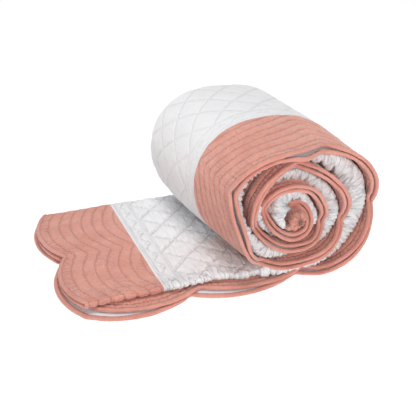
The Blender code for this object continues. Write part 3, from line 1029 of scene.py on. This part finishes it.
def core_border():
    """The border in the core, cut straight and not turned under."""
    grid = graded_grid((0.0, WIDTH), (LENGTH - BORDER, LENGTH + CORE_END - TUCK), (0.0194, 0.0148), (
        lambda u, v: near_fold(v, 0.08) or v < 0.06 or v > WIDTH - 0.06 or abs(v - QUARTER) < 0.03,
        lambda u, v: near_fold(v, 0.06) or v < 0.04 or v > WIDTH - 0.04,
        lambda u, v: near_fold(v, 0.04) or v < 0.03 or v > WIDTH - 0.03,
    ))
    across, u = flat_places(grid).T
    v = widened(across / WIDTH, u)
    coral_piece("core_border", "end_border_core", grid, u, v, 0.0)


tail_border()
core_border()

# %% [markdown]
# ## The backing
#
# One plain white sheet lies under all the face cloths. It only shows as a sliver between the
# two bound edges, so it is fine along its edges and coarse everywhere else.

# %% Backing
BACK_DEPTH = PLY - 0.0006  # a little less than a ply, so that the binding covers it


def make_backing():
    """The backing, cut like the whole quilt."""
    grid = graded_grid((0.0, WIDTH), (0.0, LENGTH + CORE_END - TUCK), (0.020, 0.0199), (
        lambda u, v: v < 0.08 or v > WIDTH - 0.08 or u < 0.04 or abs(v - 2 * QUARTER) < 0.05,
        lambda u, v: v < 0.05 or v > WIDTH - 0.05 or u < 0.02 or abs(v - 2 * QUARTER) < 0.03,
    ))
    across, s = flat_places(grid).T
    v = widened(across / WIDTH, s)
    u = s + free_edge(v) * np.clip(1 - s / BORDER, 0, 1)
    pinch = 0.0004 * noise(u / 0.012, v / 0.012, 31)
    piece = cloth_object("backing_cloth", grid, placed(u, v, BACK_DEPTH + pinch),
                         np.column_stack([v, u]), turned=True)
    finish_piece(piece, BACK, ["backing"])


make_backing()

# %% [markdown]
# ## The binding
#
# A bias strip can follow a wavy edge because it is cut across the weave. It wraps the edge from
# the face to the back. Its line is the outline of the quilt, walked at even steps and rounded a
# little, since folded cloth can't turn a sharp corner.

# %% Outline
STEP = 0.003
FINE = 4  # fine steps in each step, for the rounding
WINDOW = 24  # fine steps that it reaches to each side
SOFTEN = 0.0045


def outline():
    """The edge of the quilt as (u, v) at even steps, with the inward normal at each."""
    ends = np.linspace(0, WIDTH, 2000)
    longs = np.linspace(0, LENGTH, 3000)
    tail_side = np.column_stack([-reach(ends, END_CUSPS), ends])
    last_side = np.column_stack([longs, WIDTH + reach(longs, LONG_CUSPS)])
    core_side = np.array([[LENGTH + CORE_END, WIDTH], [LENGTH + CORE_END, 0.0]])
    first_side = np.column_stack([longs[::-1], -reach(longs[::-1], LONG_CUSPS)])
    loop = np.concatenate([tail_side, last_side[1:], core_side, first_side[:-1]])
    loop = np.vstack([loop, loop[:1]])
    run = np.concatenate([[0.0], np.cumsum(np.hypot(*np.diff(loop, axis=0).T))])
    even = np.linspace(0, run[-1], int(run[-1] / STEP) * FINE, endpoint=False)
    line = np.column_stack([np.interp(even, run, loop[:, k]) for k in (0, 1)])
    window = np.exp(-(np.arange(-WINDOW, WINDOW + 1) * STEP / FINE / SOFTEN) ** 2)
    window /= window.sum()
    wrapped = np.concatenate([line[-WINDOW:], line, line[:WINDOW]])
    line = np.column_stack([np.convolve(wrapped[:, k], window, mode="valid") for k in (0, 1)])[::FINE]
    ahead = np.roll(line, -1, axis=0) - np.roll(line, 1, axis=0)
    ahead /= np.hypot(*ahead.T)[:, None]
    return line, np.column_stack([ahead[:, 1], -ahead[:, 0]]), run[-1]


EDGE_LINE, EDGE_IN, EDGE_LENGTH = outline()
print("bound edge of", round(EDGE_LENGTH, 2), "m in", len(EDGE_LINE), "steps")

# %% Binding strip
# How far in from the edge, and how deep, at each fold of the strip from its face to its back
SECTION = (
    (8.7, 1.9), (8.3, 0.2), (7.2, -0.5), (5.4, -0.7), (3.2, -0.8), (1.2, -0.5), (0.0, 0.6),
    (-0.5, 2.2), (0.0, 3.8), (1.2, 4.9), (3.2, 5.2), (5.4, 5.1), (7.2, 4.9), (8.3, 4.5), (8.7, 3.0))


def make_binding():
    """One long grid, wrapped round the edge of the quilt."""
    section = np.array(SECTION) * MM
    count = len(EDGE_LINE)
    strip = bmesh.new()
    bmesh.ops.create_grid(strip, x_segments=len(section) - 1, y_segments=count, size=0.5)
    rough = (flat_places(strip) + 0.5) * (len(section) - 1, count)
    across, station = np.rint(rough).astype(int).T
    inset, depth = section[across].T
    along = station * STEP
    inset = inset + 0.0004 * noise(along / 0.02, across / 6, 41)
    depth = depth + 0.00035 * noise(along / 0.006, across / 5, 42) + 0.0003 * noise(along / 0.015, 0, 43)
    place = EDGE_LINE[station % count] + EDGE_IN[station % count] * inset[:, None]
    piece = cloth_object("bias_binding", strip, placed(place[:, 0], place[:, 1], depth),
                         np.column_stack([across * BIAS_FOLD, along]))
    finish_piece(piece, BIAS, ["binding"])


make_binding()

# %% [markdown]
# ## Floor, light and camera
#
# The quilt lies on a plain pale floor. It glows a little, so that shadows on it stay soft.

# %% Floor
FLOOR_SIZE = 60.0
FLOOR_GLOW = 0.87


def make_floor():
    """A plain square that is marked as part of the studio."""
    grid = bmesh.new()
    bmesh.ops.create_grid(grid, x_segments=1, y_segments=1, size=FLOOR_SIZE)
    mesh = bpy.data.meshes.new("floor")
    grid.to_mesh(mesh)
    grid.free()
    material, shader = new_material("pale floor")
    settle(shader, {"Base Color": (0.24, 0.24, 0.24, 1), "Roughness": 0.9,
                    "Emission Color": (1, 1, 1, 1), "Emission Strength": FLOOR_GLOW})
    mesh.materials.append(material)
    new_object("floor", mesh)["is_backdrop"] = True


make_floor()
print("a floor of", 2 * FLOOR_SIZE, "m square")

# %% [markdown]
# Soft lamps hang overhead, behind the far end, in front of the open end, and faintly beside the
# free end, and a pale sky fills in the rest.

# %% Light
AIM = (0.0, 0.0, 0.1)
SKY = 0.28


def soft_light(name, place, size, power):
    """A round lamp that points at the quilt."""
    light = bpy.data.lights.new(name, "AREA")
    light.shape = "DISK"
    light.size = size
    light.energy = power
    lamp = new_object(name, light)
    lamp.location = place
    lamp.rotation_euler = (Vector(AIM) - Vector(place)).to_track_quat("-Z", "Y").to_euler()
    print("the", name, "lamp gives", power, "W over", size, "m")


soft_light("overhead", (-0.15, -0.20, 2.2), 0.8, 17)
soft_light("back", (-0.2, 2.0, 1.6), 1.0, 11)
soft_light("front", (-0.15, -2.3, 1.0), 0.6, 23)
soft_light("side", (-1.9, 0.0, 0.8), 0.6, 3)
world = bpy.data.worlds.new("studio")
bpy.context.scene.world = world
world.use_nodes = True
settle(world.node_tree.nodes["Background"], {"Color": (1.0, 1.0, 1.0, 1), "Strength": SKY})
bpy.context.scene.view_settings.view_transform = "Standard"

# %% [markdown]
# The camera looks down on the open end of the roll. Its place is counted from the roll's own.

# %% Camera
AZIMUTH = -21.65  # degrees round from straight ahead, and down from level
ELEVATION = 26.82
LENS = 69.2
CAMERA_PLACE = (-0.5737, -1.0480, 0.7295)

camera_data = bpy.data.cameras.new("camera")
camera_data.lens = LENS
camera_data.sensor_width = 36.0
camera = new_object("camera", camera_data)
camera.location = (CENTRE_X + CAMERA_PLACE[0], -CENTRE_Y + CAMERA_PLACE[1], CAMERA_PLACE[2])
camera.rotation_euler = (math.radians(90 - ELEVATION), 0.0, math.radians(AZIMUTH))
bpy.context.scene.camera = camera
print("the camera stands at", [round(value, 2) for value in camera.location])

# %% [markdown]
# The soft quilt stands a little proud of its plain solids, so the box round the shown pieces is measured
# again.

# %% Sizes and finish
low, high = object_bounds()
